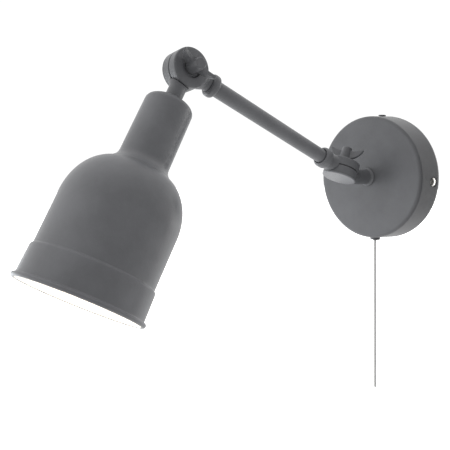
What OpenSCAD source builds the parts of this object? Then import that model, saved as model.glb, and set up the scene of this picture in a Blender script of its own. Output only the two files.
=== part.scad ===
// Adjustable wall lamp: a round wall rose with a pull-cord switch, a tubular
// arm between two clamped knuckles, and a bell-shaped spun shade.
// Frame: the origin is the centre of the wall face, +Y goes into the wall,
// +Z is up, and the lamp reaches out along -Y. Lengths are in millimetres.

/* [Rose] */
// Diameter of the rose at the wall
rose_d = 120; // [120:0.5:122]
// Depth of the rose from the wall to its front face
rose_h = 26; // [26:0.5:28]
// Diameter of the rose at its front edge
rose_front_d = 117.6; // [117:0.2:119]
// Rounding of the front edge
rose_edge = 3; // [2.5:0.5:4]
// Sheet thickness of the rose
rose_t = 1.2; // [1:0.1:1.4]
// Distance of the side screws, plug and cord bush from the wall
side_y = 8; // [7.5:0.1:8.5]
// Distance between the two holes for the wall screws
wall_hole_pitch = 60; // [56:1:64]
// Diameter of the holes for the wall screws
wall_hole_d = 5; // [4:0.5:5.5]

/* [Arm] */
// Distance from the wall to the bend of the neck
elbow_y = 45.5; // [45:0.5:48]
// Rise of the arm above the horizontal
arm_rise = 23.6; // [20:0.1:26]
// Distance from the bend to the first pivot
elbow_to_pivot = 18.5; // [18:0.5:20]
// Distance between the two pivots
arm_length = 184; // [150:1:220]
// Outside diameter of the arm tube
tube_d = 12.7; // [12.6:0.05:12.8]
// Bore of the arm tube
tube_bore = 10.7; // [10.7:0.05:10.8]

/* [Knuckles] */
// Diameter of the knuckle discs
disc_d = 30.8; // [30:0.2:32]
// Diameter of the pivot bolts
bolt_d = 6; // [6:0.01:6.02]
// Reach of each wing from the nut's axis
wing_reach = 16; // [15:0.5:17]
// Turn of the lower wing nut
wing_turn_1 = -69; // [-180:1:180]
// Turn of the upper wing nut
wing_turn_2 = 168; // [-180:1:180]

/* [Shade] */
// Turn of the upper knuckle about the arm's own line
head_twist = 6.7; // [0:0.1:10]
// Tilt of the shade from hanging straight down, away from the wall
shade_tilt = 30; // [0:1:60]
// Outside radius of the shade's neck
neck_r = 18.1; // [18:0.05:18.4]
// Outside radius of the shade's bell where the dome meets it
bell_r = 41.1; // [41:0.1:42]
// Outside radius of the bell above the step
bell_end_r = 40.2; // [40:0.1:41]
// Outside radius of the skirt below the step
skirt_r = 41.5; // [41.4:0.1:42.4]
// Outside radius of the rolled lip
lip_r = 43.4; // [43.2:0.1:44.4]
// Distance from the upper pivot to the top of the shade
shade_top = 31; // [30:0.5:32]
// Distance from the upper pivot to the mouth of the shade
shade_end = 179.6; // [178:0.1:182]
// Sheet thickness of the shade
shade_t = 1; // [0.8:0.1:1.2]

/* [Cord] */
// Diameter of the pull cord
cord_d = 2; // [1.6:0.1:2.2]

/* [Hidden] */
$fn = 96;
e = 0.01;
// How far the rose is turned on the wall, clockwise from the front
rose_turn = 4;
// Knuckle stack, measured along the pivot from the middle plane
far_z = -9.2;      // outer face of the far half's cap
cap_z = -7.8;      // outer face of the far half's casting
mate_z = 0.4;      // half of the washer gap between the halves
near_z = 8;        // outer face of the near half
seat_z = 4.6;      // floor of the nut's counterbore
disc_r = disc_d / 2;
bore_r = bolt_d / 2 + 0.06;
tube_r = tube_d / 2;
sleeve_in = 21.5;  // where the tube butts against the casting
K1 = [0, -elbow_y - elbow_to_pivot * cos(arm_rise), elbow_to_pivot * sin(arm_rise)];
K2 = [0, K1[1] - arm_length * cos(arm_rise), K1[2] + arm_length * sin(arm_rise)];
rose_r = rose_d / 2;
front_r = rose_front_d / 2;
side_r = rose_r - (rose_r - front_r) * side_y / (rose_h - rose_edge);
// Route of the pull cord from the switch slide down through the bush
cord_route = [[-3.10, -8, -44.35], [-3.45, -8, -49.5], [-3.82, -8, -54.7], [-4.18, -8, -59.8], [-4.42, -8, -63.2],
    [-4.5, -8, -67], [-4.5, -8, -72], [-4.5, -8, -78], [-4.5, -8, -84], [-4.5, -8, -90], [-4.5, -8, -96],
    [-4.5, -8, -102], [-4.5, -8, -108], [-4.5, -8, -114], [-4.5, -8, -120], [-4.5, -8, -126], [-4.5, -8, -132],
    [-4.5, -8, -138], [-4.5, -8, -144], [-4.5, -8, -150], [-4.5, -8, -156], [-4.5, -8, -162], [-4.5, -8, -168],
    [-4.5, -8, -174], [-4.5, -8, -180], [-4.5, -8, -186], [-4.5, -8, -192], [-4.5, -8, -198], [-4.5, -8, -204],
    [-4.5, -8, -210]];

// ---------- places ----------
// Rose: z runs out of the wall, y is up, x is to the right from the front
module at_rose() { rotate([90, 0, 0]) rotate([0, 0, -rose_turn]) children(); }
// On the side wall of the rose: z runs outward at angle a
module at_side(a) { at_rose() rotate([0, 0, a]) translate([0, 0, side_y]) rotate([0, 90, 0]) children(); }
// First pivot: z along the pivot axis, x along the arm
module at_k1() { translate(K1) rotate([0, 0, -90]) rotate([0, -arm_rise, 0]) children(); }
// At the second pivot, turned about the arm's own line
module twisted() { translate(K2) rotate([-arm_rise, 0, 0]) rotate([0, -head_twist, 0]) rotate([arm_rise, 0, 0]) children(); }
// Second pivot seen from the arm: z along the pivot axis, x back along the arm
module at_k2() { twisted() rotate([90 - arm_rise, 0, 0]) rotate([0, 90, 0]) children(); }
// Second pivot seen from the shade: z along the pivot axis, x down the shade
module at_k2s() { twisted() rotate([-shade_tilt, 0, 0]) rotate([0, 90, 0]) children(); }
// Shade: z runs up the shade's axis, the pivot is at z = 0
module at_shade() { twisted() rotate([-shade_tilt, 0, 0]) children(); }

// ---------- shared shapes ----------
// Disc from z0 to z1 whose edge at z1 is rounded by q
module round_disc(r, z0, z1, q) {
    rotate_extrude() union() {
        translate([0, z0]) square([r, z1 - q - z0]);
        translate([0, z0]) square([r - q, z1 - z0]);
        translate([r - q, z1 - q]) circle(q, $fn = 48);
    }
}
// Ring from z0 to z1
module ring(ro, ri, z0, z1) {
    translate([0, 0, z0]) difference() { cylinder(r = ro, h = z1 - z0); translate([0, 0, -1]) cylinder(r = ri, h = z1 - z0 + 2); }
}
// Rod along x
module rod_x(r, x0, x1, r2 = -1) { translate([x0, 0, 0]) rotate([0, 90, 0]) cylinder(r1 = r, r2 = r2 < 0 ? r : r2, h = x1 - x0); }
// Barrel-shaped collar along x around the tube
module collar_x(ro, ri, x0, x1, q) {
    translate([x0, 0, 0]) rotate([0, 90, 0]) rotate_extrude() difference() {
        union() {
            translate([0, q]) square([ro, x1 - x0 - 2 * q]);
            square([ro - q, x1 - x0]);
            translate([ro - q, q]) circle(q, $fn = 48);
            translate([ro - q, x1 - x0 - q]) circle(q, $fn = 48);
        }
        translate([0, -1]) square([ri, x1 - x0 + 2]);
        // shallow flare where the tube leaves
        polygon([[0, x1 - x0 - 1.2], [ri, x1 - x0 - 1.2], [ri + 0.9, x1 - x0 + e], [0, x1 - x0 + e]]);
    }
}
// Tube swept along a route with n sides
function unit(v) = v / norm(v);
function dir_at(p, i) = unit(p[min(i + 1, len(p) - 1)] - p[max(i - 1, 0)]);
module sweep(p, r, n = 8) {
    pts = [for (i = [0:len(p) - 1]) let (t = dir_at(p, i), a = abs(t[1]) < 0.9 ? [0, 1, 0] : [1, 0, 0], u = unit(cross(a, t)), v = cross(t, u))
        for (k = [0:n - 1]) p[i] + r * (cos(360 * k / n) * u + sin(360 * k / n) * v)];
    m = len(p);
    polyhedron(points = pts, faces = concat(
        [[for (k = [n - 1:-1:0]) k]],
        [for (i = [0:m - 2]) for (k = [0:n - 1]) [i * n + k, i * n + (k + 1) % n, (i + 1) * n + (k + 1) % n, (i + 1) * n + k]],
        [[for (k = [0:n - 1]) (m - 1) * n + k]]));
}
// Smooth curve through points, steps per span
function curve(p, s = 4) = concat([for (i = [0:len(p) - 2]) let (a = p[max(i - 1, 0)], b = p[i], c = p[i + 1], d = p[min(i + 2, len(p) - 1)])
    for (k = [0:s - 1]) let (t = k / s) 0.5 * (2 * b + (c - a) * t + (2 * a - 5 * b + 4 * c - d) * t * t + (3 * b - a - 3 * c + d) * t * t * t)], [p[len(p) - 1]]);

// Half of a knuckle with the counterbore for the wing nut, stem along x
module near_half() {
    difference() {
        union() {
            round_disc(disc_r, mate_z, near_z, 1.2);
            intersection() {
                union() {
                    rod_x(12, 7, 19, 6.3);
                    rod_x(6.3, 18.9, sleeve_in);
                }
                difference() {
                    translate([0, -20, cap_z - 1.4]) cube([40, 40, near_z - 0.6 - cap_z + 1.4]);
                    translate([0, 0, -20]) cylinder(r = disc_r + 0.6, h = 20 + mate_z);
                }
            }
            rod_x(5.3, sleeve_in - 0.5, 34);
        }
        translate([0, 0, -10]) cylinder(r = bore_r, h = 30);
        translate([0, 0, seat_z]) cylinder(r = 8, h = 10);
        // round wire pocket in the mating face
        ring(11, 4.6, mate_z - 1, 3.2);
        rod_x(2.8, 9, 35);
    }
}
// Half of a knuckle that holds the bolt's head, stem along x: its body, and what is cut from it
module far_body(stem_r, stem_end) {
    translate([0, 0, cap_z]) cylinder(r = disc_r, h = -mate_z - cap_z);
    intersection() {
        rod_x(11.5, 7, stem_end, stem_r);
        translate([0, -20, cap_z]) cube([40, 40, near_z - 0.6 - cap_z]);
    }
}
module far_cuts() {
    // room for the near half's disc
    translate([0, 0, -mate_z]) cylinder(r = disc_r + 0.6, h = 30);
    translate([0, 0, -12]) cylinder(r = bolt_d / 2 + 0.02, h = 20);
    // seat of the cap and hexagonal pocket of the bolt's head
    translate([0, 0, cap_z - 1]) cylinder(r = 11.02, h = 2);
    translate([0, 0, cap_z - 1]) cylinder(r = 5.82, h = 5.05, $fn = 6);
    // round wire pocket in the mating face
    ring(11, 4.6, -2.9, 1);
}
module knuckle_cap() {
    union() {
        rotate_extrude() union() {
            translate([0, far_z + 0.6]) square([disc_r, cap_z - far_z - 0.6]);
            translate([0, far_z]) square([disc_r - 0.6, cap_z - far_z]);
            translate([disc_r - 0.6, far_z + 0.6]) circle(0.6, $fn = 32);
        }
        translate([0, 0, cap_z - 0.2]) cylinder(r = 11, h = 1.15);
    }
}
module pivot_bolt(top) {
    translate([0, 0, cap_z + 1]) cylinder(r = 5.7, h = 2.9, $fn = 6);
    translate([0, 0, cap_z + 3]) cylinder(r = bolt_d / 2, h = top - cap_z - 3);
}
// Blind wing nut whose seat is at z0
module wing_nut(z0, turn) {
    wing = [[3, 2.6], [5.5, 2.9], [7.6, 3.5], [9.6, 4.4], [11.4, 5.6], [12.9, 7.1], [14.2, 8.9], [15.2, 10.6], [wing_reach, 12.4],
        [wing_reach - 0.5, 12.8], [wing_reach - 2, 12.3], [12, 11.5], [9.6, 10.8], [7, 10.4], [3, 10.3]];
    translate([0, 0, z0]) rotate([0, 0, turn]) difference() {
        union() {
            rotate_extrude() union() {
                polygon([[0, 0], [5.2, 0], [5.2, 1.2], [4.4, 12.7], [3.6, 13.5], [0, 13.5]]);
                translate([3.6, 12.7]) circle(0.8, $fn = 32);
            }
            for (a = [0, 180]) rotate([0, 0, a]) rotate([90, 0, 0]) translate([0, 0, -1.5]) linear_extrude(3) polygon(wing);
        }
        translate([0, 0, -1]) cylinder(r = bore_r, h = 12);
    }
}

// ---------- inside the rose ----------
module wall_bracket() color([0.72, 0.73, 0.74]) at_rose() difference() {
    union() {
        translate([3 - rose_r, -11, 0]) cube([2 * rose_r - 6, 22, 1.5]);
        for (s = [-1, 1]) translate([s > 0 ? rose_r - 4.5 : 3 - rose_r, -8, 0]) cube([1.5, 16, 13.5]);
    }
    for (s = [-1, 1]) translate([s * wall_hole_pitch / 2, 0, -1]) cylinder(r = wall_hole_d / 2, h = 4);
    translate([14, 0, -1]) cylinder(r = 2.03, h = 4);
    translate([-9, 0, -1]) cylinder(r = 1.53, h = 4);
    translate([-70, 0, side_y]) rotate([0, 90, 0]) cylinder(r = 1.55, h = 140);
}
module earth_screw() color([0.80, 0.66, 0.32]) at_rose() {
    translate([14, 0, 0.2]) cylinder(r = 2, h = 3);
    translate([14, 0, 1.5]) difference() {
        union() { cylinder(r = 4.6, h = 0.8); cylinder(r = 3.6, h = 3.1); }
        translate([-5, -0.5, 2]) cube([10, 1, 3]);
    }
}
module terminal_block() color([0.93, 0.92, 0.88]) at_rose() difference() {
    translate([-22, -12, 1.5]) union() {
        cube([17, 24, 8]);
        for (y = [0.5, 13]) translate([2, y, 7]) cube([13, 10.5, 5.5]);
    }
    for (y = [-6.25, 6.25]) {
        translate([-23, y, 6.2]) rotate([0, 90, 0]) cylinder(r = 2.05, h = 20);
        for (x = [-17, -10]) translate([x, y, 6.2]) cylinder(r = 1.7, h = 10);
    }
    translate([-9, 0, 0]) cylinder(r = 1.53, h = 20);
    translate([-9, 0, 5.2]) cylinder(r = 3, h = 10);
}
module terminal_inserts() color([0.80, 0.66, 0.32]) at_rose() for (y = [-6.25, 6.25]) difference() {
    translate([-21, y, 6.2]) rotate([0, 90, 0]) cylinder(r = 2, h = 15);
    translate([-22, y, 6.2]) rotate([0, 90, 0]) cylinder(r = 1.2, h = 18);
}
module terminal_screws() color([0.78, 0.78, 0.80]) at_rose() for (y = [-6.25, 6.25]) for (x = [-17, -10]) translate([x, y, 8.4]) difference() {
    cylinder(r = 1.6, h = 3.8);
    translate([-2, -0.3, 3.1]) cube([4, 0.6, 2]);
}
module block_screw() color([0.78, 0.78, 0.80]) at_rose() translate([-9, 0, 0.2]) {
    cylinder(r = 1.5, h = 6);
    translate([0, 0, 5]) difference() { cylinder(r = 2.7, h = 1.8); translate([-3, -0.35, 1.1]) cube([6, 0.7, 1]); }
}
module rose_cover() color([0.40, 0.41, 0.43]) {
    difference() {
        union() {
            at_rose() rotate_extrude() difference() {
                union() {
                    polygon([[0, 0], [rose_r, 0], [front_r, rose_h - rose_edge], [front_r - rose_edge, rose_h], [0, rose_h]]);
                    translate([front_r - rose_edge, rose_h - rose_edge]) circle(rose_edge, $fn = 64);
                }
                polygon([[-1, -1], [rose_r - rose_t, -1], [rose_r - rose_t, 0], [front_r - rose_t, rose_h - rose_edge],
                    [front_r - rose_edge, rose_h - rose_t], [-1, rose_h - rose_t]]);
                translate([front_r - rose_edge, rose_h - rose_edge]) circle(rose_edge - rose_t, $fn = 48);
            }
            // dimples that hold the screw heads
            for (a = [0, 180]) at_side(a) translate([0, 0, side_r - 2.3]) cylinder(r = 5.6, h = 1.3);
        }
        at_rose() translate([0, 0, rose_h - 3]) cylinder(r = 5.1, h = 5);
        for (a = [0, 180]) at_side(a) {
            translate([0, 0, side_r - 1.1]) cylinder(r = 4.6, h = 3);
            translate([0, 0, 50]) cylinder(r = 1.8, h = 12);
        }
        at_side(90) translate([0, 0, 50]) cylinder(r = 2.6, h = 12);
        at_side(-90) translate([0, 0, 50]) cylinder(r = 4.1, h = 12);
    }
}
module rose_screws() color([0.80, 0.80, 0.81]) for (a = [0, 180]) at_side(a) difference() {
    union() {
        translate([0, 0, 53.5]) cylinder(r = 1.5, h = side_r - 1.1 - 53.5 + 0.5);
        translate([0, 0, side_r - 1.1]) rotate_extrude() intersection() {
            square([3.8, 1.9]);
            translate([0, -5.3]) circle(7.2, $fn = 96);
        }
    }
    translate([-5, -0.45, side_r + 0.1]) cube([10, 0.9, 3]);
}
module blanking_plug() color([0.40, 0.41, 0.43]) at_side(90) {
    translate([0, 0, side_r - 3.2]) cylinder(r = 2.55, h = 3.6);
    translate([0, 0, side_r + 0.25]) round_disc(3.6, 0, 1.1, 0.5);
}
module switch_body() color([0.93, 0.93, 0.92]) at_rose() difference() {
    translate([-12, -56, side_y - 6.4]) cube([24, 22, 12.8]);
    // slide's chamber and the bush's socket
    translate([0, -37, side_y]) rotate([90, 0, 0]) cylinder(r = 2.5, h = 16);
    translate([0, -52.5, side_y]) rotate([90, 0, 0]) cylinder(r = 4.02, h = 5);
    // wire entries
    for (x = [-7, 7]) translate([x, -33, side_y]) rotate([90, 0, 0]) cylinder(r = 1.6, h = 9);
}
module cord_bush() color([0.40, 0.41, 0.43]) at_side(-90) difference() {
    union() {
        translate([0, 0, 53]) cylinder(r = 4, h = side_r - 53 + 1);
        translate([0, 0, side_r + 0.3]) round_disc(4.9, 0, 2.7, 0.6);
        translate([0, 0, side_r + 2.8]) cylinder(r1 = 2.6, r2 = 1.8, h = 1.2);
    }
    translate([0, 0, 50]) cylinder(r = 1.35, h = 20);
}
module switch_slide() color([0.85, 0.85, 0.84]) at_side(-90) translate([0, 0, 38.4]) cylinder(r = 2.4, h = 6);
module pull_cord() color([0.72, 0.72, 0.71]) sweep(cord_route, cord_d / 2, 8);
module lamp_wires() color([0.55, 0.33, 0.20]) at_rose() for (k = [-1, 1])
    sweep(curve([[-4.9, k * 6.25, 6.2], [-2.4, k * 6.2, 6.3], [-0.9, k * 4.8, 7.4], [-0.9, k * 2.8, 9.4], [-0.87, k * 1.7, 11.4], [-0.87, k * 1.52, 13], [-0.87, k * 1.52, 15]], 4), 0.8);
module earth_wire() color([0.45, 0.62, 0.22]) at_rose()
    sweep(curve([[9.3, 0, 2.5], [8, 0, 3.1], [5.4, 0, 5.3], [3, 0, 8], [1.9, 0, 10.5], [1.75, 0, 12.6], [1.75, 0, 15]], 4), 0.8);
module neck_flex() color([0.90, 0.90, 0.88]) at_rose() translate([0, 0, 15.1]) cylinder(r = 2.3, h = elbow_y - 16);
module switch_wires() color([0.25, 0.27, 0.32]) at_rose() {
    sweep(curve([[-22.1, -6.25, 6.2], [-26, -6.5, 6.3], [-28, -10, 7], [-25, -18, 8], [-14, -24, 8], [-7.5, -28, 8], [-7, -33.9, 8]], 4), 0.95);
    sweep(curve([[-22.1, 6.25, 6.2], [-28, 6.2, 6.4], [-33, 0, 7.5], [-32, -14, 9], [-18, -26, 11], [2, -26, 10], [7, -29, 8.4], [7, -33.9, 8]], 4), 0.95);
}
module nipple_washer() color([0.72, 0.73, 0.74]) at_rose() ring(9.2, 5.1, rose_h - rose_t - 0.8, rose_h - rose_t);
module nipple_nut() color([0.80, 0.66, 0.32]) at_rose() difference() {
    translate([0, 0, rose_h - rose_t - 3.8]) cylinder(r = 8.1, h = 3, $fn = 6);
    translate([0, 0, rose_h - rose_t - 5]) cylinder(r = 5.02, h = 6);
}

// ---------- first knuckle ----------
module rose_knuckle() color([0.38, 0.39, 0.41]) difference() {
    union() {
        at_k1() mirror([1, 0, 0]) far_body(6.9, elbow_to_pivot);
        // neck from the rose to the bend, with its foot and threaded end
        translate([0, -elbow_y, 0]) rotate([-90, 0, 0]) rotate_extrude() difference() {
            union() {
                square([7, elbow_y - rose_h]);
                circle(7);
                translate([0, elbow_y - rose_h - 3.6]) square([8.8, 3.6]);
                square([5, elbow_y - 12]);
            }
            translate([-20, -20]) square([20, 60]);
            translate([10, elbow_y - rose_h - 3.8]) circle(3);
        }
    }
    at_k1() mirror([1, 0, 0]) { far_cuts(); rod_x(2.8, 9, elbow_to_pivot + 1); }
    // wire way through the neck
    translate([0, -elbow_y - 1.5, 0]) rotate([-90, 0, 0]) cylinder(r = 2.8, h = elbow_y);
}
module rose_knuckle_cap() color([0.62, 0.63, 0.64]) at_k1() knuckle_cap();
module pivot_bolt_1() color([0.75, 0.76, 0.78]) at_k1() pivot_bolt(17.6);
module friction_washer_1() color([0.12, 0.12, 0.12]) at_k1() ring(14.2, 11.6, -mate_z, mate_z - 0.05);
module clamp_washer_1() color([0.75, 0.76, 0.78]) at_k1() ring(7.2, 3.2, seat_z + 0.05, seat_z + 1.65);
module spring_washer_1() color([0.75, 0.76, 0.78]) at_k1() ring(5.6, 3.2, seat_z + 1.65, seat_z + 3.65);
module wing_nut_1() color([0.40, 0.41, 0.43]) at_k1() wing_nut(seat_z + 3.7, wing_turn_1);

// ---------- arm ----------
module arm_knuckle_lower() color([0.40, 0.41, 0.43]) at_k1() near_half();
module lower_collar() color([0.40, 0.41, 0.43]) at_k1() collar_x(9.2, tube_r + 0.02, sleeve_in, 30, 2.4);
module arm_tube() color([0.42, 0.43, 0.45]) at_k1() difference() {
    rod_x(tube_r, sleeve_in, arm_length - sleeve_in);
    rod_x(tube_bore / 2, sleeve_in - 1, arm_length - sleeve_in + 1);
}
module upper_collar() color([0.40, 0.41, 0.43]) at_k2() collar_x(9.2, tube_r + 0.02, sleeve_in, 28.2, 2.4);
module arm_knuckle_upper() color([0.40, 0.41, 0.43]) at_k2() near_half();
module arm_flex() color([0.90, 0.90, 0.88]) at_k1() rod_x(2.3, 17, arm_length - 17);

// ---------- second knuckle and shade ----------
module shade_knuckle() color([0.44, 0.45, 0.47]) difference() {
    union() {
        at_k2s() far_body(6.4, 17.5);
        at_shade() {
            translate([0, 0, -shade_top]) cylinder(r = 6.4, h = shade_top - 17.3);
            // foot that sits on the shade
            translate([0, 0, -shade_top]) rotate_extrude() difference() {
                square([9.6, 3.6]);
                translate([9.6 + 0.2, 3.8]) circle(3.4, $fn = 64);
            }
            translate([0, 0, -41]) cylinder(r = 5, h = 41 - shade_top + 0.5);
        }
    }
    at_k2s() far_cuts();
    at_shade() translate([0, 0, -42]) cylinder(r = 2.8, h = 42 - 9);
}
module shade_knuckle_cap() color([0.44, 0.45, 0.47]) at_k2s() knuckle_cap();
module pivot_bolt_2() color([0.75, 0.76, 0.78]) at_k2s() pivot_bolt(15.6);
module friction_washer_2() color([0.12, 0.12, 0.12]) at_k2s() ring(14.2, 11.6, -mate_z, mate_z - 0.05);
module clamp_washer_2() color([0.75, 0.76, 0.78]) at_k2s() ring(7.2, 3.2, seat_z + 0.05, seat_z + 1.25);
module wing_nut_2() color([0.42, 0.43, 0.45]) at_k2() wing_nut(seat_z + 1.3, wing_turn_2);
module stem_flex() color([0.90, 0.90, 0.88]) at_shade() translate([0, 0, -44.4]) cylinder(r = 2.3, h = 27.4);
module stem_nut() color([0.80, 0.66, 0.32]) at_shade() difference() {
    translate([0, 0, -shade_top - shade_t - 3]) cylinder(r = 8.1, h = 3, $fn = 6);
    translate([0, 0, -shade_top - 10]) cylinder(r = 5.02, h = 12);
}
module holder_cap() color([0.93, 0.92, 0.88]) at_shade() difference() {
    rotate_extrude() difference() {
        union() {
            translate([0, -50]) square([13.5, 11]);
            translate([0, -50]) square([10.5, 14]);
            translate([10.5, -39]) circle(3, $fn = 48);
        }
        translate([0, -51]) square([12, 11.5]);
    }
    translate([0, 0, -60]) cylinder(r = 5.02, h = 40);
}
module holder_body() color([0.93, 0.92, 0.88]) at_shade() difference() {
    union() {
        translate([0, 0, -76]) cylinder(r = 13.5, h = 25.9);
        translate([0, 0, -52]) cylinder(r = 11.9, h = 8);
    }
    translate([0, 0, -77]) cylinder(r = 7.1, h = 27);
    translate([0, 0, -60]) cylinder(r = 2.6, h = 20);
}
module holder_contact() color([0.80, 0.66, 0.32]) at_shade() {
    translate([0, 0, -50.6]) cylinder(r = 2.5, h = 6);
}
// Outline of the shade outside, radius against distance below the pivot
function dome(s) = 16.5 + (bell_r - 16.5) * sqrt(max(0, 1 - pow((120 - s) / 33.5, 2)));
outside = concat(
    [[0, shade_top], [13.6, shade_top]],
    [for (a = [15:15:75]) [13.6 + (neck_r - 13.6) * sin(a), shade_top + 4.5 * (1 - cos(a))]],
    [[neck_r, shade_top + 4.5], [neck_r, 78.5], [neck_r + 0.25, 80.5], [neck_r + 0.95, 82.5], [neck_r + 2.2, 84.4], [neck_r + 3.9, 86.2]],
    [for (s = [88, 89.5, 91, 93, 95, 97.5, 100, 103, 106, 109, 112, 115, 118]) [dome(s), s]],
    [[bell_r, 120.5], [bell_end_r, 156.6], [bell_end_r + 0.35, 157.4], [skirt_r - 0.3, 158.5], [skirt_r, 159.2], [skirt_r, 175.8], [skirt_r + 0.2, 176.4]],
    [for (a = [-70:25:80]) [lip_r - 1.55 + 1.55 * cos(a), shade_end - 1.55 + 1.55 * sin(a)]],
    [[skirt_r - 0.6, shade_end]]);
inside = concat(
    [[skirt_r - shade_t, 178.2], [skirt_r - shade_t, 159.4], [bell_end_r - shade_t, 157.4], [bell_r - shade_t, 120.5]],
    [for (s = [118, 115, 112, 109, 106, 103, 100, 97.5, 95, 93, 91, 89.5]) [dome(s) - shade_t * min(1.5, (dome(s) - 16.5 > 1 ? (bell_r - 16.5) / (dome(s) - 16.5) : 2)), s + shade_t * (1 - (dome(s) - 16.5) / (bell_r - 16.5))]],
    [[neck_r + 2.4, 87.8], [neck_r + 0.9, 85.4], [neck_r - 0.3, 83], [neck_r - shade_t, 79], [neck_r - shade_t, shade_top + 4.8],
     [neck_r - shade_t - 0.7, shade_top + 2.4], [neck_r - shade_t - 2.2, shade_top + shade_t + 0.2], [13.6, shade_top + shade_t], [0, shade_top + shade_t]]);
// The one spun sheet of the shade, in three rings: neck, dome, and bell with skirt and lip
neck_end = 78.5;
dome_end = 120.5;
module sheet(points) rotate_extrude() polygon([for (p = points) [p[0], -p[1]]]);
module shade_neck() color([0.42, 0.43, 0.45]) at_shade() difference() {
    sheet(concat([for (p = outside) if (p[1] <= neck_end) p], [[neck_r - shade_t, neck_end]], [for (p = inside) if (p[1] < neck_end) p]));
    translate([0, 0, -40]) cylinder(r = 5.1, h = 20);
}
module shade_dome() color([0.42, 0.43, 0.45]) at_shade()
    sheet(concat([for (p = outside) if (p[1] >= neck_end && p[1] <= dome_end) p],
        [for (p = inside) if (p[1] >= neck_end && p[1] <= dome_end) p], [[neck_r - shade_t, neck_end]]));
module lamp_shade() color([0.42, 0.43, 0.45]) at_shade()
    sheet(concat([for (p = outside) if (p[1] >= dome_end) p], [for (p = inside) if (p[1] >= dome_end) p]));
module bulb_cap() color([0.78, 0.78, 0.78]) at_shade() {
    translate([0, 0, -77.5]) cylinder(r = 6.9, h = 24.3);
    translate([0, 0, -53.3]) cylinder(r1 = 5, r2 = 2.2, h = 2.6);
}
module bulb_globe() color([0.98, 0.96, 0.90]) at_shade() union() {
    translate([0, 0, -112]) sphere(r = 22.5);
    translate([0, 0, -100]) cylinder(r1 = 19, r2 = 9.5, h = 22.5);
}

wall_bracket();
earth_screw();
terminal_block();
terminal_inserts();
terminal_screws();
block_screw();
rose_cover();
rose_screws();
blanking_plug();
switch_body();
cord_bush();
switch_slide();
pull_cord();
lamp_wires();
earth_wire();
switch_wires();
neck_flex();
nipple_washer();
nipple_nut();
rose_knuckle();
rose_knuckle_cap();
pivot_bolt_1();
friction_washer_1();
clamp_washer_1();
spring_washer_1();
wing_nut_1();
arm_knuckle_lower();
lower_collar();
arm_tube();
upper_collar();
arm_knuckle_upper();
arm_flex();
shade_knuckle();
shade_knuckle_cap();
pivot_bolt_2();
friction_washer_2();
clamp_washer_2();
wing_nut_2();
stem_flex();
stem_nut();
holder_cap();
holder_body();
holder_contact();
shade_neck();
shade_dome();
lamp_shade();
bulb_cap();
bulb_globe();
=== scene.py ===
"""Looks of the wall lamp: smooth and cast surfaces, paint, metal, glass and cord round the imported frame."""
import math

import bpy
import numpy as np
from mathutils import Matrix, Vector


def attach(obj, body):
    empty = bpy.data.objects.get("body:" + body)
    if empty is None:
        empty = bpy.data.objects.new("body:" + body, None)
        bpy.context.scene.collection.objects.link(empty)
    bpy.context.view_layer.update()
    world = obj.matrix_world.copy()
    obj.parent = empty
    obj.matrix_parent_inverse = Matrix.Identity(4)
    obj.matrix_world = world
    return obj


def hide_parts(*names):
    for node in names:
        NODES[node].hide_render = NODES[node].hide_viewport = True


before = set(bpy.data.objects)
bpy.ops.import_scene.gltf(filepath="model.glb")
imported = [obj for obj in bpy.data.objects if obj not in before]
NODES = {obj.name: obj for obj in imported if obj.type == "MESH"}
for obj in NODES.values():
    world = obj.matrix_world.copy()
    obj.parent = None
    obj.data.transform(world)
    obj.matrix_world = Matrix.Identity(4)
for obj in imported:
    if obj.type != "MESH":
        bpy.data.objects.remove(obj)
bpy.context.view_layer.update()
MM = 0.001

# ------------------------------------------------------------------ places (mm, as in the construction)
ARM_RISE, TWIST, TILT, TURN = 23.6, 6.7, 30.0, 4.0
ROSE_R, ROSE_H, FRONT_R, EDGE, ROSE_T, SIDE_Y = 60.0, 26.0, 58.8, 3.0, 1.2, 8.0
er, tr = math.radians(ARM_RISE), math.radians(TILT)
K1 = Vector((0, -45.5 - 18.5 * math.cos(er), 18.5 * math.sin(er)))
K2 = Vector((0, K1.y - 184 * math.cos(er), K1.z + 184 * math.sin(er)))
SIDE_R = ROSE_R - (ROSE_R - FRONT_R) * SIDE_Y / (ROSE_H - EDGE)


def rot(axis, deg):
    return Matrix.Rotation(math.radians(deg), 4, axis)


AT_ROSE = rot("X", 90) @ rot("Z", -TURN)
AT_K1 = Matrix.Translation(K1) @ rot("Z", -90) @ rot("Y", -ARM_RISE)
TWISTED = Matrix.Translation(K2) @ rot("X", -ARM_RISE) @ rot("Y", -TWIST) @ rot("X", ARM_RISE)
AT_K2 = TWISTED @ rot("X", 90 - ARM_RISE) @ rot("Y", 90)
AT_K2S = TWISTED @ rot("X", -TILT) @ rot("Y", 90)
AT_SHADE = TWISTED @ rot("X", -TILT)


def at_side(a):
    return AT_ROSE @ rot("Z", a) @ Matrix.Translation((0, 0, SIDE_Y)) @ rot("Y", 90)


# ------------------------------------------------------------------ camera, at the photograph's viewpoint
cam_data = bpy.data.cameras.new("photo_camera")
cam = bpy.data.objects.new("photo_camera", cam_data)
bpy.context.scene.collection.objects.link(cam)
cam.location = (0.32701, -0.43178, 0.00847)
cam.rotation_euler = (math.radians(90.068), 0, math.radians(54.238))
cam_data.sensor_width = 36.0
cam_data.lens = 518.03 / 450 * 36
cam_data.shift_x = 0.00127
cam_data.shift_y = -0.12793
cam_data.clip_start = 0.01
cam_data.clip_end = 60
bpy.context.scene.camera = cam
bpy.context.scene.view_settings.view_transform = "Standard"
bpy.context.scene.view_settings.look = "None"


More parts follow.
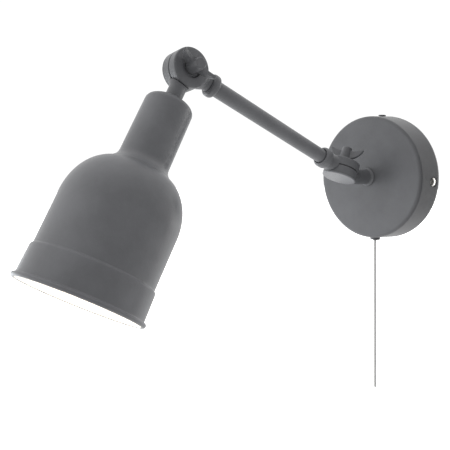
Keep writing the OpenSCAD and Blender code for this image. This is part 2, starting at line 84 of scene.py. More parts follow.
# ------------------------------------------------------------------ node helpers
class Mat:
    """A Principled material with object-space procedural detail."""

    def __init__(self, name, **sockets):
        self.m = bpy.data.materials.new(name)
        self.m.use_nodes = True
        self.t = self.m.node_tree
        self.n, self.l = self.t.nodes, self.t.links
        self.n.clear()
        self.out = self.n.new("ShaderNodeOutputMaterial")
        self.b = self.n.new("ShaderNodeBsdfPrincipled")
        self.l.new(self.b.outputs[0], self.out.inputs[0])
        self.co = self.n.new("ShaderNodeTexCoord").outputs["Object"]
        for k, v in sockets.items():
            self.b.inputs[k.replace("_", " ")].default_value = v

    def noise(self, scale, detail=3.0, rough=0.55, vector=None, distortion=0.0):
        t = self.n.new("ShaderNodeTexNoise")
        t.inputs["Scale"].default_value = scale
        t.inputs["Detail"].default_value = detail
        t.inputs["Roughness"].default_value = rough
        t.inputs["Distortion"].default_value = distortion
        self.l.new(vector or self.co, t.inputs["Vector"])
        return t.outputs["Fac"]

    def voronoi(self, scale, feature="F1", out="Distance", vector=None):
        t = self.n.new("ShaderNodeTexVoronoi")
        t.feature = feature
        t.inputs["Scale"].default_value = scale
        self.l.new(vector or self.co, t.inputs["Vector"])
        return t.outputs[out]

    def ramp(self, value, lo, hi, a, b):
        t = self.n.new("ShaderNodeMapRange")
        for k, v in zip(("From Min", "From Max", "To Min", "To Max"), (lo, hi, a, b)):
            t.inputs[k].default_value = v
        self.l.new(value, t.inputs["Value"])
        return t.outputs[0]

    def math(self, op, a, b=None, clamp=False):
        t = self.n.new("ShaderNodeMath")
        t.operation = op
        t.use_clamp = clamp
        for i, v in enumerate((a, b)):
            if v is None:
                continue
            if isinstance(v, (int, float)):
                t.inputs[i].default_value = v
            else:
                self.l.new(v, t.inputs[i])
        return t.outputs[0]

    def mix(self, fac, a, b, blend="MIX"):
        t = self.n.new("ShaderNodeMix")
        t.data_type = "RGBA"
        t.blend_type = blend
        ins = [i for i in t.inputs if i.type == "RGBA"]
        fin = [i for i in t.inputs if i.name == "Factor" and i.type == "VALUE"][0]
        for sock, v in ((fin, fac), (ins[0], a), (ins[1], b)):
            if isinstance(v, (int, float)):
                sock.default_value = v
            elif isinstance(v, (tuple, list)):
                sock.default_value = (*v[:3], 1)
            else:
                self.l.new(v, sock)
        return [o for o in t.outputs if o.type == "RGBA"][0]

    def bump(self, height, strength, distance, normal=None):
        t = self.n.new("ShaderNodeBump")
        t.inputs["Strength"].default_value = strength
        t.inputs["Distance"].default_value = distance
        self.l.new(height, t.inputs["Height"])
        if normal is not None:
            self.l.new(normal, t.inputs["Normal"])
        return t.outputs[0]

    def set(self, socket, value):
        self.l.new(value, self.b.inputs[socket])

    def edge(self, lo=0.52, hi=0.60):
        g = self.n.new("ShaderNodeNewGeometry")
        return self.ramp(g.outputs["Pointiness"], lo, hi, 0, 1)


def powder(name, base, rough=0.42, grain=2600, edge=0.10, cast=0.0, specular=0.5):
    """Matt powder coat: fine grain, faint orange peel, slight colour drift, rubbed edges."""
    m = Mat(name, IOR=1.5, Specular_IOR_Level=specular)
    drift = m.noise(34, 4, 0.6)
    fine = m.noise(grain, 2, 0.5)
    peel = m.noise(520, 3, 0.55)
    light = tuple(c * 1.10 + 0.002 for c in base)
    dark = tuple(c * 0.91 for c in base)
    col = m.mix(m.ramp(drift, 0.35, 0.65, 0, 1), dark, light)
    speck = m.ramp(m.noise(grain * 0.7, 1, 0.5), 0.62, 0.75, 0, 1)
    col = m.mix(m.math("MULTIPLY", speck, 0.22), col, tuple(c * 1.5 for c in base))
    col = m.mix(m.math("MULTIPLY", m.edge(0.53, 0.64), edge), col, tuple(min(1, c * 2.2) for c in base))
    m.set("Base Color", col)
    r = m.math("ADD", m.ramp(drift, 0.3, 0.7, -0.04, 0.05), m.ramp(fine, 0.3, 0.7, rough - 0.03, rough + 0.05))
    m.set("Roughness", r)
    n1 = m.bump(fine, 0.22, 0.00010)
    n2 = m.bump(peel, 0.16, 0.00030, n1)
    if cast:
        n2 = m.bump(m.noise(240, 4, 0.6), cast, 0.0008, n2)
    m.set("Normal", n2)
    return m.m


def metal(name, base, rough, brushed=0.0, tint=None, blotch=0.0, axis_scale=(1, 1, 1)):
    m = Mat(name, Metallic=1.0)
    drift = m.noise(160, 4, 0.6)
    col = m.mix(m.ramp(drift, 0.35, 0.65, 0, 1), tuple(c * (0.92 - blotch) for c in base), tint or tuple(min(1, c * 1.05) for c in base))
    m.set("Base Color", col)
    mp = m.n.new("ShaderNodeMapping")
    mp.inputs["Scale"].default_value = axis_scale
    m.l.new(m.co, mp.inputs["Vector"])
    scr = m.noise(2200, 3, 0.6, mp.outputs[0])
    m.set("Roughness", m.math("ADD", m.ramp(drift, 0.3, 0.7, rough - 0.04, rough + 0.06), m.ramp(scr, 0.3, 0.7, -0.03, 0.03)))
    m.set("Normal", m.bump(scr, 0.10 + brushed, 0.00004))
    return m.m


def plastic(name, base, rough=0.42, grain=1800, coat=0.0):
    m = Mat(name, IOR=1.49, Coat_Weight=coat)
    drift = m.noise(90, 3, 0.5)
    m.set("Base Color", m.mix(m.ramp(drift, 0.3, 0.7, 0, 1), tuple(c * 0.94 for c in base), tuple(min(1, c * 1.04) for c in base)))
    fine = m.noise(grain, 2, 0.5)
    m.set("Roughness", m.ramp(fine, 0.3, 0.7, rough - 0.05, rough + 0.06))
    m.set("Normal", m.bump(fine, 0.14, 0.00008))
    return m.m


GREY = (0.108, 0.110, 0.117)
# Copies of the one grey paint: the shade, tube, castings and wing nuts are made lighter and the rose a little darker.
# These factors are painted light and shade that set each part's tone under the lamps.
P_SHADE = powder("shade_powder_coat", tuple(c * 1.30 for c in GREY), 0.40)
P_ROSE = powder("rose_powder_coat", tuple(c * 0.98 for c in GREY), 0.40)
P_TUBE = powder("tube_powder_coat", tuple(c * 1.25 for c in GREY), 0.40)
P_CAST = powder("casting_powder_coat", tuple(c * 1.22 for c in GREY), 0.42, 2200, edge=0.22, cast=0.20)
P_NUT = powder("wing_nut_coat", tuple(c * 1.15 for c in GREY), 0.40, 2000, edge=0.30, cast=0.26)
# Knuckle cap paint: the grey made 1.75x lighter is a painted reflection of the pale floor on its downward face; its
# lower roughness is a real satin finish
P_CAP_PAINTED_REFLECTION = powder("cap_satin_painted_reflection", tuple(c * 1.75 for c in GREY), 0.30, 2600, edge=0.2, cast=0.05)
M_NICKEL = metal("nickel_screw", (0.80, 0.78, 0.74), 0.22)
M_ZINC = metal("zinc_plate", (0.66, 0.67, 0.70), 0.36, 0.05, tint=(0.72, 0.71, 0.66), blotch=0.06)
M_SPRING = metal("spring_steel", (0.42, 0.42, 0.43), 0.34, 0.08)
M_BRASS = metal("turned_brass", (0.78, 0.60, 0.27), 0.28, 0.05)
M_ALU = metal("bulb_cap_aluminium", (0.80, 0.80, 0.81), 0.30, 0.05)
M_WHITE = plastic("switch_white_plastic", (0.80, 0.80, 0.78), 0.40)
M_CERAM = plastic("lampholder_white", (0.84, 0.83, 0.80), 0.34, coat=0.15)
M_PAD = plastic("friction_fibre", (0.035, 0.034, 0.033), 0.75, 900)
M_BROWN = plastic("wire_brown", (0.22, 0.10, 0.05), 0.38)
M_BLUE = plastic("wire_blue", (0.05, 0.13, 0.36), 0.38)
M_FLEX = plastic("flex_white", (0.78, 0.78, 0.76), 0.42)


def earth_stripes():
    m = Mat("wire_green_yellow", IOR=1.49, Roughness=0.4)
    w = m.n.new("ShaderNodeTexWave")
    w.inputs["Scale"].default_value = 260
    w.inputs["Distortion"].default_value = 0.4
    m.l.new(m.co, w.inputs["Vector"])
    m.set("Base Color", m.mix(m.ramp(w.outputs["Fac"], 0.55, 0.62, 0, 1), (0.08, 0.30, 0.05), (0.72, 0.62, 0.05)))
    m.set("Normal", m.bump(m.noise(1500, 2), 0.1, 0.0001))
    return m.m


M_EARTH = earth_stripes()


def enamel():
    m = Mat("shade_white_inside", IOR=1.5)
    drift, fine = m.noise(40, 4, 0.6), m.noise(1700, 2, 0.5)
    m.set("Base Color", m.mix(m.ramp(drift, 0.3, 0.7, 0, 1), (0.86, 0.85, 0.82), (0.90, 0.895, 0.875)))
    m.set("Roughness", m.ramp(fine, 0.3, 0.7, 0.34, 0.46))
    m.set("Normal", m.bump(fine, 0.12, 0.00008))
    return m.m


M_ENAMEL = enamel()


def opal():
    m = Mat("opal_bulb", IOR=1.5, Roughness=0.18, Emission_Color=(1.0, 0.90, 0.76, 1), Emission_Strength=9.0)
    m.set("Base Color", m.mix(m.ramp(m.noise(60, 3), 0.3, 0.7, 0, 1), (0.93, 0.92, 0.89), (0.97, 0.965, 0.94)))
    m.set("Normal", m.bump(m.noise(400, 2), 0.04, 0.0002))
    return m.m


M_OPAL = opal()


def braid():
    m = Mat("pull_cord_braid", IOR=1.45, Roughness=0.8, Sheen_Weight=0.12, Sheen_Roughness=0.5)
    strands = m.voronoi(2600, "DISTANCE_TO_EDGE")
    fibre = m.noise(5200, 3, 0.6)
    col = m.mix(m.ramp(strands, 0.0, 0.12, 0, 1), (0.25, 0.25, 0.245), (0.41, 0.41, 0.40))
    m.set("Base Color", m.mix(m.ramp(fibre, 0.3, 0.7, 0, 0.35), col, (0.47, 0.47, 0.46)))
    m.set("Normal", m.bump(fibre, 0.3, 0.0001))
    return m.m


M_CORD = braid()


# ------------------------------------------------------------------ mesh helpers
def put(name, verts, faces, place=None, smooth=True):
    """A mesh from points in mm in a place's own frame."""
    me = bpy.data.meshes.new(name)
    v = np.array(verts, float).reshape(-1, 3)
    if place is not None:
        a = np.array(place, float)
        v = v @ a[:3, :3].T + a[:3, 3]
    me.from_pydata((v * MM).tolist(), [], [tuple(f) for f in faces])
    me.validate()
    me.update()
    o = bpy.data.objects.new(name, me)
    bpy.context.scene.collection.objects.link(o)
    if smooth:
        me.polygons.foreach_set("use_smooth", [True] * len(me.polygons))
    return o


def revolve(profile, n=128, closed=True):
    """Points (r, z) turned round z. A closed profile makes a tube-like solid; r of 0 makes a pole."""
    verts, rings = [], []
    for r, z in profile:
        if abs(r) < 1e-9:
            rings.append([len(verts)])
            verts.append((0, 0, z))
        else:
            rings.append(list(range(len(verts), len(verts) + n)))
            verts += [(r * math.cos(2 * math.pi * k / n), r * math.sin(2 * math.pi * k / n), z) for k in range(n)]
    faces = []
    pairs = list(zip(rings, rings[1:])) + ([(rings[-1], rings[0])] if closed else [])
    for a, b in pairs:
        if len(a) == 1 and len(b) == 1:
            continue
        for k in range(n):
            j = (k + 1) % n
            if len(a) == 1:
                faces.append((a[0], b[j], b[k]))
            elif len(b) == 1:
                faces.append((a[k], a[j], b[0]))
            else:
                faces.append((a[k], a[j], b[j], b[k]))
    return verts, faces


def outward(o):
    """Makes a closed mesh's faces point out."""
    import bmesh
    bm = bmesh.new()
    bm.from_mesh(o.data)
    bmesh.ops.remove_doubles(bm, verts=bm.verts, dist=1e-7)
    bmesh.ops.recalc_face_normals(bm, faces=bm.faces)
    if bm.calc_volume(signed=True) < 0:
        bmesh.ops.reverse_faces(bm, faces=bm.faces)
    bm.to_mesh(o.data)
    bm.free()
    return o


def sharp(o, deg=38):
    """Smooth shading with creases where faces meet at more than deg."""
    o.data.polygons.foreach_set("use_smooth", [True] * len(o.data.polygons))
    o.data.set_sharp_from_angle(angle=math.radians(deg))
    return o


def applied(o):
    dg = bpy.context.evaluated_depsgraph_get()
    me = bpy.data.meshes.new_from_object(o.evaluated_get(dg))
    o.modifiers.clear()
    o.data = me
    return o


def cut(o, tool, op="DIFFERENCE"):
    m = o.modifiers.new("cut", "BOOLEAN")
    m.object, m.operation, m.solver = tool, op, "EXACT"
    applied(o)
    bpy.data.objects.remove(tool)
    return o


def cylinder(r, z0, z1, place, n=64, r2=None):
    v, f = revolve([(0, z0), (r, z0), (r if r2 is None else r2, z1), (0, z1)], n, closed=False)
    return outward(put("tool", v, f, place))


def arc(cx, cz, r, a0, a1, n=6):
    """Points (r, z) on an arc, angles in degrees from +r towards +z."""
    return [(cx + r * math.cos(math.radians(a0 + (a1 - a0) * k / n)), cz + r * math.sin(math.radians(a0 + (a1 - a0) * k / n))) for k in range(n + 1)]


def finish_piece(o, mat, body, node=None):
    o.data.materials.clear()
    for m in mat if isinstance(mat, (list, tuple)) else [mat]:
        o.data.materials.append(m)
    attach(o, body)
    if node:
        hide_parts(*([node] if isinstance(node, str) else node))
    return o


def casting(name, node, mat, body, voxel=0.30, steps=5, extra=()):
    """The construction's own solid with cast, rounded edges and filled inner corners."""
    src = NODES[node]
    o = bpy.data.objects.new(name, src.data.copy())
    bpy.context.scene.collection.objects.link(o)
    if extra:
        for e in extra:
            cut(o, e, "UNION")
    r = o.modifiers.new("skin", "REMESH")
    r.mode, r.voxel_size, r.use_smooth_shade = "VOXEL", voxel * MM, True
    s = o.modifiers.new("soften", "SMOOTH")
    s.factor, s.iterations = 0.5, steps
    applied(o)
    o.data.polygons.foreach_set("use_smooth", [True] * len(o.data.polygons))
    return finish_piece(o, mat, body, node)


# ------------------------------------------------------------------ pull cord: a round braid, bare at its end
ROUTE = [(-3.10, -8, -44.35), (-3.45, -8, -49.5), (-3.82, -8, -54.7), (-4.18, -8, -59.8), (-4.42, -8, -63.2),
         (-4.5, -8, -67), (-4.5, -8, -72), (-4.5, -8, -78), (-4.5, -8, -84), (-4.5, -8, -90), (-4.5, -8, -96),
         (-4.5, -8, -102), (-4.5, -8, -108), (-4.5, -8, -114), (-4.5, -8, -120), (-4.5, -8, -126), (-4.5, -8, -132),
         (-4.5, -8, -138), (-4.5, -8, -144), (-4.5, -8, -150), (-4.5, -8, -156), (-4.5, -8, -162), (-4.5, -8, -168),
         (-4.5, -8, -174), (-4.5, -8, -180), (-4.5, -8, -186), (-4.5, -8, -192), (-4.5, -8, -198), (-4.5, -8, -204),
         (-4.5, -8, -210)]


def swept(name, points, radius, sides=16, step=0.6, relief=None, round_end=False):
    """A tube along smooth points in mm; relief(angle, s) adds to its radius."""
    p = np.array(points, float)
    d = np.concatenate([[0], np.cumsum(np.linalg.norm(np.diff(p, axis=0), axis=1))])
    s = np.linspace(0, d[-1], max(3, int(d[-1] / step) + 1))
    q = np.stack([np.interp(s, d, p[:, k]) for k in range(3)], 1)
    for _ in range(6):
        q[1:-1] = (q[:-2] + 2 * q[1:-1] + q[2:]) / 4
    t = np.gradient(q, axis=0)
    t /= np.linalg.norm(t, axis=1)[:, None]
    a = np.array([0, 1.0, 0]) if abs(t[0, 1]) < 0.9 else np.array([1.0, 0, 0])
    verts = []
    u = np.cross(a, t[0])
    rings = []
    for i in range(len(q)):
        u = u - (u @ t[i]) * t[i]
        u /= np.linalg.norm(u)
        v = np.cross(t[i], u)
        k = 1.0
        if round_end:
            left = s[-1] - s[i]
            k = math.sqrt(max(0.02, 1 - (1 - min(1, left / radius)) ** 2))
        ring = []
        for j in range(sides):
            w = 2 * math.pi * j / sides
            rr = (radius + (relief(w, s[i]) if relief else 0)) * k
            ring.append(len(verts))
            verts.append(tuple(q[i] + rr * (math.cos(w) * u + math.sin(w) * v)))
        rings.append(ring)
    faces = [(a_[j], a_[(j + 1) % sides], b_[(j + 1) % sides], b_[j]) for a_, b_ in zip(rings, rings[1:]) for j in range(sides)]
    for ring, end in ((rings[0], q[0]), (rings[-1], q[-1])):
        verts.append(tuple(end))
        c = len(verts) - 1
        faces += [(c, ring[j], ring[(j + 1) % sides]) for j in range(sides)]
    return outward(put(name, verts, faces)), q


def plait(w, s):
    return 0.045 * (math.cos(4 * w + s * 2.9) * math.cos(4 * w - s * 2.9)) - 0.045


cord, cord_line = swept("pull_cord_braid", ROUTE, 1.0, 24, 0.27, plait, True)
finish_piece(cord, M_CORD, "pull", "pull_cord")

# ------------------------------------------------------------------ rose
p_out = [(ROSE_R - ROSE_T, 0), (ROSE_R - 0.35, 0), (ROSE_R - 0.1, 0.1), (ROSE_R - 0.02, 0.35)]
p_out += [(ROSE_R - (ROSE_R - FRONT_R) * z / (ROSE_H - EDGE), z) for z in (2, 5, 9, 13, 17, 20, 22)]
p_out += arc(FRONT_R - EDGE, ROSE_H - EDGE, EDGE, 3, 90, 12)
p_out += [(r, ROSE_H) for r in (52, 46, 38, 30, 22, 14, 9, 5.6)] + [(5.15, ROSE_H - 0.15), (5.1, ROSE_H - 0.4), (5.1, ROSE_H - ROSE_T)]
p_in = [(r, ROSE_H - ROSE_T) for r in (9, 20, 35, 50)] + arc(FRONT_R - EDGE, ROSE_H - EDGE, EDGE - ROSE_T, 90, 3, 8)
p_in += [(ROSE_R - ROSE_T - (ROSE_R - FRONT_R) * z / (ROSE_H - EDGE), z) for z in (20, 13, 6)]
v, f = revolve(p_out + p_in, 192)
rose = outward(put("rose_shell", v, f, AT_ROSE))
for a in (0, 180):
    # pressed dimple: a pad behind it, a rounded well in front, and the screw's hole
    cut(rose, cylinder(5.6, SIDE_R - 2.3, SIDE_R - 0.9, at_side(a)), "UNION")
    v, f = revolve([(0, SIDE_R - 1.1), (3.9, SIDE_R - 1.1), (4.4, SIDE_R - 0.9), (4.7, SIDE_R - 0.4), (5.3, SIDE_R + 0.3), (5.3, SIDE_R + 3), (0, SIDE_R + 3)], 64, closed=False)
    cut(rose, outward(put("tool", v, f, at_side(a))))
    cut(rose, cylinder(1.8, 50, 62, at_side(a), 32))
cut(rose, cylinder(2.6, 50, 62, at_side(90), 32))
cut(rose, cylinder(4.1, 50, 62, at_side(-90), 48))
sharp(rose, 32)
finish_piece(rose, P_ROSE, "rose", "rose_cover")

# ------------------------------------------------------------------ shade
NECK_R, BELL_R, BELL_END_R, SKIRT_R, LIP_R, TOP, END, SHEET = 18.1, 41.1, 40.2, 41.5, 43.4, 31.0, 179.6, 1.0


def dome(s):
    return 16.5 + (BELL_R - 16.5) * math.sqrt(max(0, 1 - ((120 - s) / 33.5) ** 2))


def smooth_profile(points, step=1.2):
    """Resamples a polyline of (r, s) through a centripetal spline, for even rings."""
    p = np.array(points, float)
    out = []
    for i in range(len(p) - 1):
        p0, p1, p2, p3 = p[max(i - 1, 0)], p[i], p[i + 1], p[min(i + 2, len(p) - 1)]
        n = max(1, int(np.linalg.norm(p2 - p1) / step))
        for k in range(n):
            t = k / n
            out.append(0.5 * (2 * p1 + (p2 - p0) * t + (2 * p0 - 5 * p1 + 4 * p2 - p3) * t * t + (3 * p1 - p0 - 3 * p2 + p3) * t ** 3))
    out.append(p[-1])
    return [tuple(x) for x in out]


neck = [(5.1, TOP), (9, TOP), (NECK_R - 4.5, TOP)] + [(NECK_R - 4.5 + 4.5 * math.sin(math.radians(a)), TOP + 4.5 * (1 - math.cos(math.radians(a)))) for a in (15, 30, 45, 60, 75)] + [(NECK_R, TOP + 4.5)]
neck += [(NECK_R, s) for s in (36, 44, 52, 60, 68, 74)]
bend = [(NECK_R, 74), (NECK_R, 78.5), (NECK_R + 0.25, 80.5), (NECK_R + 0.95, 82.5), (NECK_R + 2.2, 84.4), (NECK_R + 3.9, 86.2)]
bend += [(dome(s), s) for s in (88, 89.5, 91, 93, 95, 97.5, 100, 103, 106, 109, 112, 115, 118)] + [(BELL_R, 121), (BELL_R - 0.1, 125)]
bend = smooth_profile(bend, 0.9)
slope = (BELL_R - BELL_END_R) / 36.1
body = [(BELL_R - slope * (s - 120.5), s) for s in (131, 137, 143, 149, 154)] + [(BELL_END_R, 156.6), (BELL_END_R + 0.05, 157.0), (BELL_END_R + 0.3, 157.4), (BELL_END_R + 0.75, 157.65), (SKIRT_R - 0.3, 158.0), (SKIRT_R - 0.07, 158.4), (SKIRT_R, 159.0)]
body += [(SKIRT_R, s) for s in (163, 167, 171, 174, 175.6)] + [(SKIRT_R + 0.05, 176.1), (SKIRT_R + 0.3, 176.45)] + [(LIP_R - 1.55 + 1.55 * math.cos(math.radians(a)), END - 1.57 + 1.55 * math.sin(math.radians(a))) for a in range(-70, 91, 16)]
body += [(SKIRT_R - 0.2, END - 0.03), (SKIRT_R - 0.62, END - 0.08)]
inner = [(SKIRT_R - 0.8, END - 0.4), (SKIRT_R - SHEET, END - 1.0), (SKIRT_R - SHEET, 172), (SKIRT_R - SHEET, 164), (SKIRT_R - SHEET, 159.4), (BELL_END_R - SHEET, 157.6), (BELL_END_R - SHEET + 0.2, 149), (BELL_R - SHEET - 0.3, 133), (BELL_R - SHEET, 122)]
for s in (118, 115, 112, 109, 106, 103, 100, 97.5, 95, 93):
    k = min(1.5, (BELL_R - 16.5) / (dome(s) - 16.5))
    inner.append((dome(s) - SHEET * k, s + SHEET * (1 - (dome(s) - 16.5) / (BELL_R - 16.5))))
inner += [(NECK_R + 6.2, 91.5), (NECK_R + 2.4, 88.0), (NECK_R + 0.9, 85.4), (NECK_R - 0.3, 83), (NECK_R - SHEET, 79), (NECK_R - SHEET, 60), (NECK_R - SHEET, 40), (NECK_R - SHEET, TOP + 4.8), (NECK_R - SHEET - 0.7, TOP + 2.4), (NECK_R - SHEET - 2.2, TOP + SHEET + 0.2), (13, TOP + SHEET), (5.1, TOP + SHEET)]
n_seg = 224
outer_pts = neck[:-1] + bend + body
v, f = revolve([(r, -s) for r, s in outer_pts + inner], n_seg)
shade = put("shade_shell", v, f, AT_SHADE)
n_out = (len(outer_pts)) * n_seg
kind = [0 if i < n_out else 1 for i in range(len(shade.data.polygons))]
shade.data.polygons.foreach_set("material_index", kind)
outward(shade)
sharp(shade, 40)
kind = [p.material_index for p in shade.data.polygons]
finish_piece(shade, [P_SHADE, M_ENAMEL], "shade", [n for n in ("shade_neck", "shade_dome", "lamp_shade") if n in NODES])

shade.data.polygons.foreach_set("material_index", kind)

# ------------------------------------------------------------------ arm tube and collars
v, f = revolve([(5.35, 21.5), (6.15, 21.5), (6.35, 21.8)] + [(6.35, s) for s in np.linspace(26, 158, 12)] + [(6.35, 162.2), (6.15, 162.5), (5.35, 162.5)], 96)
tube = outward(put("arm_tube_skin", v, f, AT_K1 @ rot("Y", 90)))
sharp(tube)
finish_piece(tube, P_TUBE, "arm", "arm_tube")


def collar(name, place, node, end):
    prof = [(6.38, 21.5), (7.4, 21.52)] + arc(6.8, 23.9, 2.4, -75, 0, 7) + [(9.2, (21.5 + end) / 2)] + arc(6.8, end - 2.4, 2.4, 0, 62, 6) + [(7.55, end - 0.05), (7.35, end), (7.25, end - 0.15), (6.7, end - 1.1), (6.38, end - 1.3)]
    v, f = revolve(prof, 96)
    o = outward(put(name, v, f, place @ rot("Y", 90)))
    sharp(o, 50)
    return finish_piece(o, P_CAST, "arm", node)


collar("lower_collar_skin", AT_K1, "lower_collar", 30.0)
collar("upper_collar_skin", AT_K2, "upper_collar", 28.2)

# ------------------------------------------------------------------ castings
casting("rose_knuckle_cast", "rose_knuckle", P_CAST, "rose")
casting("arm_knuckle_lower_cast", "arm_knuckle_lower", P_CAST, "arm")
casting("arm_knuckle_upper_cast", "arm_knuckle_upper", P_CAST, "arm")
casting("shade_knuckle_cast", "shade_knuckle", P_CAST, "shade")
casting("wing_nut_lower_cast", "wing_nut_1", P_NUT, "wing_1", 0.2, 6)
casting("wing_nut_upper_cast", "wing_nut_2", P_NUT, "wing_2", 0.2, 6)


def knuckle_cap(name, place, node, mat, body):
    prof = [(0, -9.2), (6, -9.2), (11, -9.2), (14.3, -9.2)] + arc(14.4, -8.2, 1.0, -90, 0, 8) + [(15.4, -7.9), (15.3, -7.8), (11, -7.8), (10.95, -6.9), (10.8, -6.85), (0, -6.85)]
    v, f = revolve(prof, 128, closed=False)
    o = outward(put(name, v, f, place))
    sharp(o, 40)
    return finish_piece(o, mat, body, node)


# the lower cap takes the lightened paint (painted reflection); the upper cap keeps the casting paint
knuckle_cap("knuckle_cap_lower_skin", AT_K1, "rose_knuckle_cap", P_CAP_PAINTED_REFLECTION, "rose")
knuckle_cap("knuckle_cap_upper_skin", AT_K2S, "shade_knuckle_cap", P_CAST, "shade")

# ------------------------------------------------------------------ side screws, plug and bush on the rose
for i, a in enumerate((0, 180)):
    z0 = SIDE_R - 1.1
    dome_pts = [(3.8, z0 + 0.15), (3.8, z0 + 0.75)] + [(r, z0 - 5.3 + math.sqrt(7.2 ** 2 - r * r)) for r in (3.6, 3.2, 2.6, 2.0, 1.3, 0.6)] + [(0, z0 + 1.9)]
    v, f = revolve([(0, 53.5), (1.2, 53.5), (1.5, 54), (1.5, z0), (3.6, z0)] + dome_pts, 64, closed=False)
    o = outward(put(f"side_screw_{i + 1}", v, f, at_side(a)))
    v, f = [(-5, -0.45, z0 + 1.15), (5, -0.45, z0 + 1.15), (5, 0.45, z0 + 1.15), (-5, 0.45, z0 + 1.15), (-5, -0.45, 63), (5, -0.45, 63), (5, 0.45, 63), (-5, 0.45, 63)], [(0, 3, 2, 1), (4, 5, 6, 7), (0, 1, 5, 4), (1, 2, 6, 5), (2, 3, 7, 6), (3, 0, 4, 7)]
    cut(o, outward(put("tool", v, f, at_side(a) @ rot("Z", 50 if i else 20), smooth=False)))
    sharp(o, 30)
    finish_piece(o, M_NICKEL, "rose", "rose_screws")

v, f = revolve([(0, SIDE_R - 3.2), (2.2, SIDE_R - 3.2), (2.5, SIDE_R - 2.9), (2.5, SIDE_R + 0.3), (3.5, SIDE_R + 0.3), (3.6, SIDE_R + 0.45)] + arc(3.1, SIDE_R + 0.85, 0.5, 0, 90, 6) + [(1.5, SIDE_R + 1.38), (0, SIDE_R + 1.4)], 64, closed=False)
o = outward(put("edge_plug", v, f, at_side(90)))
sharp(o, 40)
finish_piece(o, P_ROSE, "rose", "blanking_plug")

prof = [(1.35, 53.3), (1.6, 53), (3.8, 53), (4.0, 53.3)]
for k in range(9):
    prof += [(4.0, 53.6 + 0.6 * k), (3.75, 53.9 + 0.6 * k)]
prof += [(4.0, 59.4), (4.0, SIDE_R + 0.3), (4.7, SIDE_R + 0.32), (4.9, SIDE_R + 0.55), (4.9, SIDE_R + 2.3)] + arc(4.3, SIDE_R + 2.4, 0.6, 0, 90, 5)
prof += [(2.9, SIDE_R + 3.0), (2.5, SIDE_R + 3.1), (1.85, SIDE_R + 3.85), (1.65, SIDE_R + 4.0), (1.45, SIDE_R + 3.95), (1.35, SIDE_R + 3.7)]
v, f = revolve(prof, 64)
o = outward(put("cord_bush_turned", v, f, at_side(-90)))
sharp(o, 40)
finish_piece(o, P_ROSE, "rose", "cord_bush")

# ------------------------------------------------------------------ bulb
glass = [(0, 134.5)] + [(22.5 * math.sin(math.radians(a)), 112 + 22.5 * math.cos(math.radians(a))) for a in range(8, 121, 7)]
glass += [(17.6, 97.0), (15.2, 92.6), (13.0, 88.4), (11.3, 84.4), (10.2, 80.8), (9.6, 77.6), (8.5, 77.52), (0, 77.52)]
v, f = revolve([(r, -s) for r, s in smooth_profile(glass[:-3], 1.5) + glass[-3:]], 96, closed=False)
o = outward(put("bulb_glass", v, f, AT_SHADE))
sharp(o, 50)
finish_piece(o, M_OPAL, "shade", "bulb_globe")
prof = [(0, 50.8), (2.2, 50.8), (2.6, 51.2), (5, 53.3), (6.5, 53.4)]
for k in range(7):
    for a in (0, 90, 180, 270):
        prof.append((6.55 + 0.32 * math.sin(math.radians(a)), 55.0 + 2.2 * k + 2.2 * a / 360))
prof += [(6.9, 71), (6.9, 77.4), (0, 77.45)]
v, f = revolve([(r, -s) for r, s in prof], 64, closed=False)
o = outward(put("bulb_screw_cap", v, f, AT_SHADE))
sharp(o, 60)
finish_piece(o, M_ALU, "shade", "bulb_cap")

# ------------------------------------------------------------------ wires inside the rose
def spline(points, n=10):
    p = [Vector(x) for x in points]
    out = []
    for i in range(len(p) - 1):
        a, b, c, d = p[max(i - 1, 0)], p[i], p[i + 1], p[min(i + 2, len(p) - 1)]
        for k in range(n):
            t = k / n
            out.append(0.5 * (2 * b + (c - a) * t + (2 * a - 5 * b + 4 * c - d) * t * t + (3 * b - a - 3 * c + d) * t ** 3))
    return [AT_ROSE @ x for x in out + [p[-1]]]


for k, side in ((1, "a"), (-1, "b")):
    pts = [(-4.9, k * 6.25, 6.2), (-2.4, k * 6.2, 6.3), (-0.9, k * 4.8, 7.4), (-0.9, k * 2.8, 9.4), (-0.87, k * 1.7, 11.4), (-0.87, k * 1.52, 13), (-0.87, k * 1.52, 15)]
    w, _ = swept("lamp_wire_" + side, spline(pts), 0.8, 16, 0.3)
    finish_piece(w, M_BROWN if k > 0 else M_BLUE, "rose", "lamp_wires")
w, _ = swept("earth_wire_sleeve", spline([(9.3, 0, 2.5), (8, 0, 3.1), (5.4, 0, 5.3), (3, 0, 8), (1.9, 0, 10.5), (1.75, 0, 12.6), (1.75, 0, 15)]), 0.8, 16, 0.3)
finish_piece(w, M_EARTH, "rose", "earth_wire")
for side, pts in (("a", [(-22.1, -6.25, 6.2), (-26, -6.5, 6.3), (-28, -10, 7), (-25, -18, 8), (-14, -24, 8), (-7.5, -28, 8), (-7, -33.9, 8)]),
                  ("b", [(-22.1, 6.25, 6.2), (-28, 6.2, 6.4), (-33, 0, 7.5), (-32, -14, 9), (-18, -26, 11), (2, -26, 10), (7, -29, 8.4), (7, -33.9, 8)])):
    w, _ = swept("switch_wire_" + side, spline(pts), 0.95, 16, 0.4)
    finish_piece(w, M_BLUE if side == "a" else M_BROWN, "rose", "switch_wires")

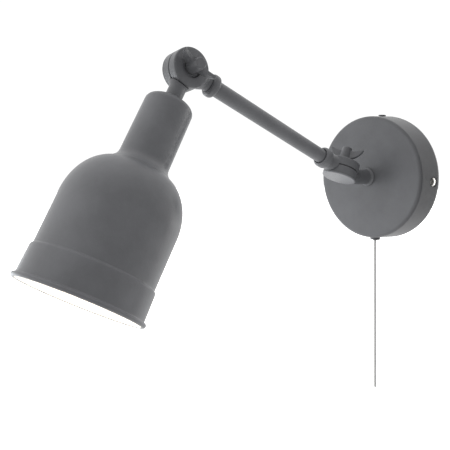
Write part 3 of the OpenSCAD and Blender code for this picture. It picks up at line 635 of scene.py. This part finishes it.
# ------------------------------------------------------------------ construction pieces that keep their own shape
SKIN = {
    # the clamp washers take the grey casting paint instead of plated metal: painted shade that keeps the counterbores
    # dark
    "wall_bracket": M_ZINC, "nipple_washer": M_ZINC, "clamp_washer_1": P_CAST, "clamp_washer_2": P_CAST,
    "pivot_bolt_1": M_ZINC, "pivot_bolt_2": M_ZINC, "spring_washer_1": M_SPRING, "terminal_screws": M_ZINC, "block_screw": M_ZINC,
    "earth_screw": M_BRASS, "terminal_inserts": M_BRASS, "nipple_nut": M_BRASS, "stem_nut": M_BRASS, "holder_contact": M_BRASS,
    "terminal_block": M_WHITE, "switch_body": M_WHITE, "switch_slide": M_WHITE, "holder_cap": M_CERAM, "holder_body": M_CERAM,
    "friction_washer_1": M_PAD, "friction_washer_2": M_PAD, "neck_flex": M_FLEX, "arm_flex": M_FLEX, "stem_flex": M_FLEX,
}
for node, mat in SKIN.items():
    o = NODES[node]
    o.data.materials.clear()
    o.data.materials.append(mat)
    sharp(o, 30)

# ------------------------------------------------------------------ floor and light
bpy.ops.mesh.primitive_plane_add(size=24, location=(0, 0, -0.55))
floor = bpy.context.object
floor.name = "floor"
fl = Mat("pale_floor", Roughness=0.7)
fl.b.inputs["Emission Color"].default_value = (1, 1, 1, 1)
fl.b.inputs["Emission Strength"].default_value = 1.1
fl.set("Base Color", fl.mix(fl.ramp(fl.noise(3, 3), 0.3, 0.7, 0, 1), (0.90, 0.90, 0.895), (0.93, 0.93, 0.925)))
floor.data.materials.append(fl.m)
floor.visible_diffuse = floor.visible_glossy = floor.visible_shadow = False

world = bpy.data.worlds.new("studio")
bpy.context.scene.world = world
world.use_nodes = True
wn, wl = world.node_tree.nodes, world.node_tree.links
wn.clear()
w_out = wn.new("ShaderNodeOutputWorld")
w_mix = wn.new("ShaderNodeMixShader")
w_cam = wn.new("ShaderNodeBackground")
w_env = wn.new("ShaderNodeBackground")
w_cam.inputs["Color"].default_value = (1, 1, 1, 1)
w_cam.inputs["Strength"].default_value = 1.05
w_lp = wn.new("ShaderNodeLightPath")
w_co = wn.new("ShaderNodeTexCoord")
# a darker field where the photographer stands, pale walls all round it
w_dot = wn.new("ShaderNodeVectorMath")
w_dot.operation = "DOT_PRODUCT"
w_dot.inputs[1].default_value = (0.98, -0.18, 0.05)
wl.new(w_co.outputs["Generated"], w_dot.inputs[0])
w_map = wn.new("ShaderNodeMapRange")
w_map.interpolation_type = "SMOOTHSTEP"
wl.new(w_dot.outputs["Value"], w_map.inputs["Value"])
for k, x in zip(("From Min", "From Max", "To Min", "To Max"), (-0.15, 0.92, 1.22, 0.46)):
    w_map.inputs[k].default_value = x
wl.new(w_map.outputs[0], w_env.inputs["Strength"])
w_env.inputs["Color"].default_value = (1, 1, 1, 1)
wl.new(w_lp.outputs["Is Camera Ray"], w_mix.inputs[0])
wl.new(w_env.outputs[0], w_mix.inputs[1])
wl.new(w_cam.outputs[0], w_mix.inputs[2])
wl.new(w_mix.outputs[0], w_out.inputs[0])


def softbox(name, where, look, size, power, colour=(1, 1, 1), size_y=None):
    d = bpy.data.lights.new(name, "AREA")
    d.shape = "RECTANGLE"
    d.size, d.size_y = size, size_y or size
    d.energy, d.color = power, colour
    o = bpy.data.objects.new(name, d)
    bpy.context.scene.collection.objects.link(o)
    o.location = where
    o.rotation_mode = "QUATERNION"
    o.rotation_quaternion = (Vector(look) - Vector(where)).to_track_quat("-Z", "Y")
    return o


aim = (0, -0.16, 0.0)
softbox("left_softbox", (-1.6, -0.75, -0.55), aim, 1.1, 11, (0.90, 0.95, 1.0))
softbox("right_softbox", (0.2, 1.4, 0.0), aim, 1.0, 7, (1.0, 0.99, 0.97))

# a black card beside the rose, out of the picture, keeps its side darker than its face
bpy.ops.mesh.primitive_plane_add(size=0.3, location=(0.17, 0.11, 0.0))
card = bpy.context.object
card.name = "black_card"
card.rotation_euler = (math.pi / 2, 0, math.radians(57))
card.scale = (1.0, 1.9, 1.0)
cm = Mat("card_black", Roughness=0.9)
cm.set("Base Color", cm.mix(cm.ramp(cm.noise(60, 2), 0.3, 0.7, 0, 1), (0.02, 0.02, 0.02), (0.03, 0.03, 0.03)))
card.data.materials.append(cm.m)
card.visible_camera = False
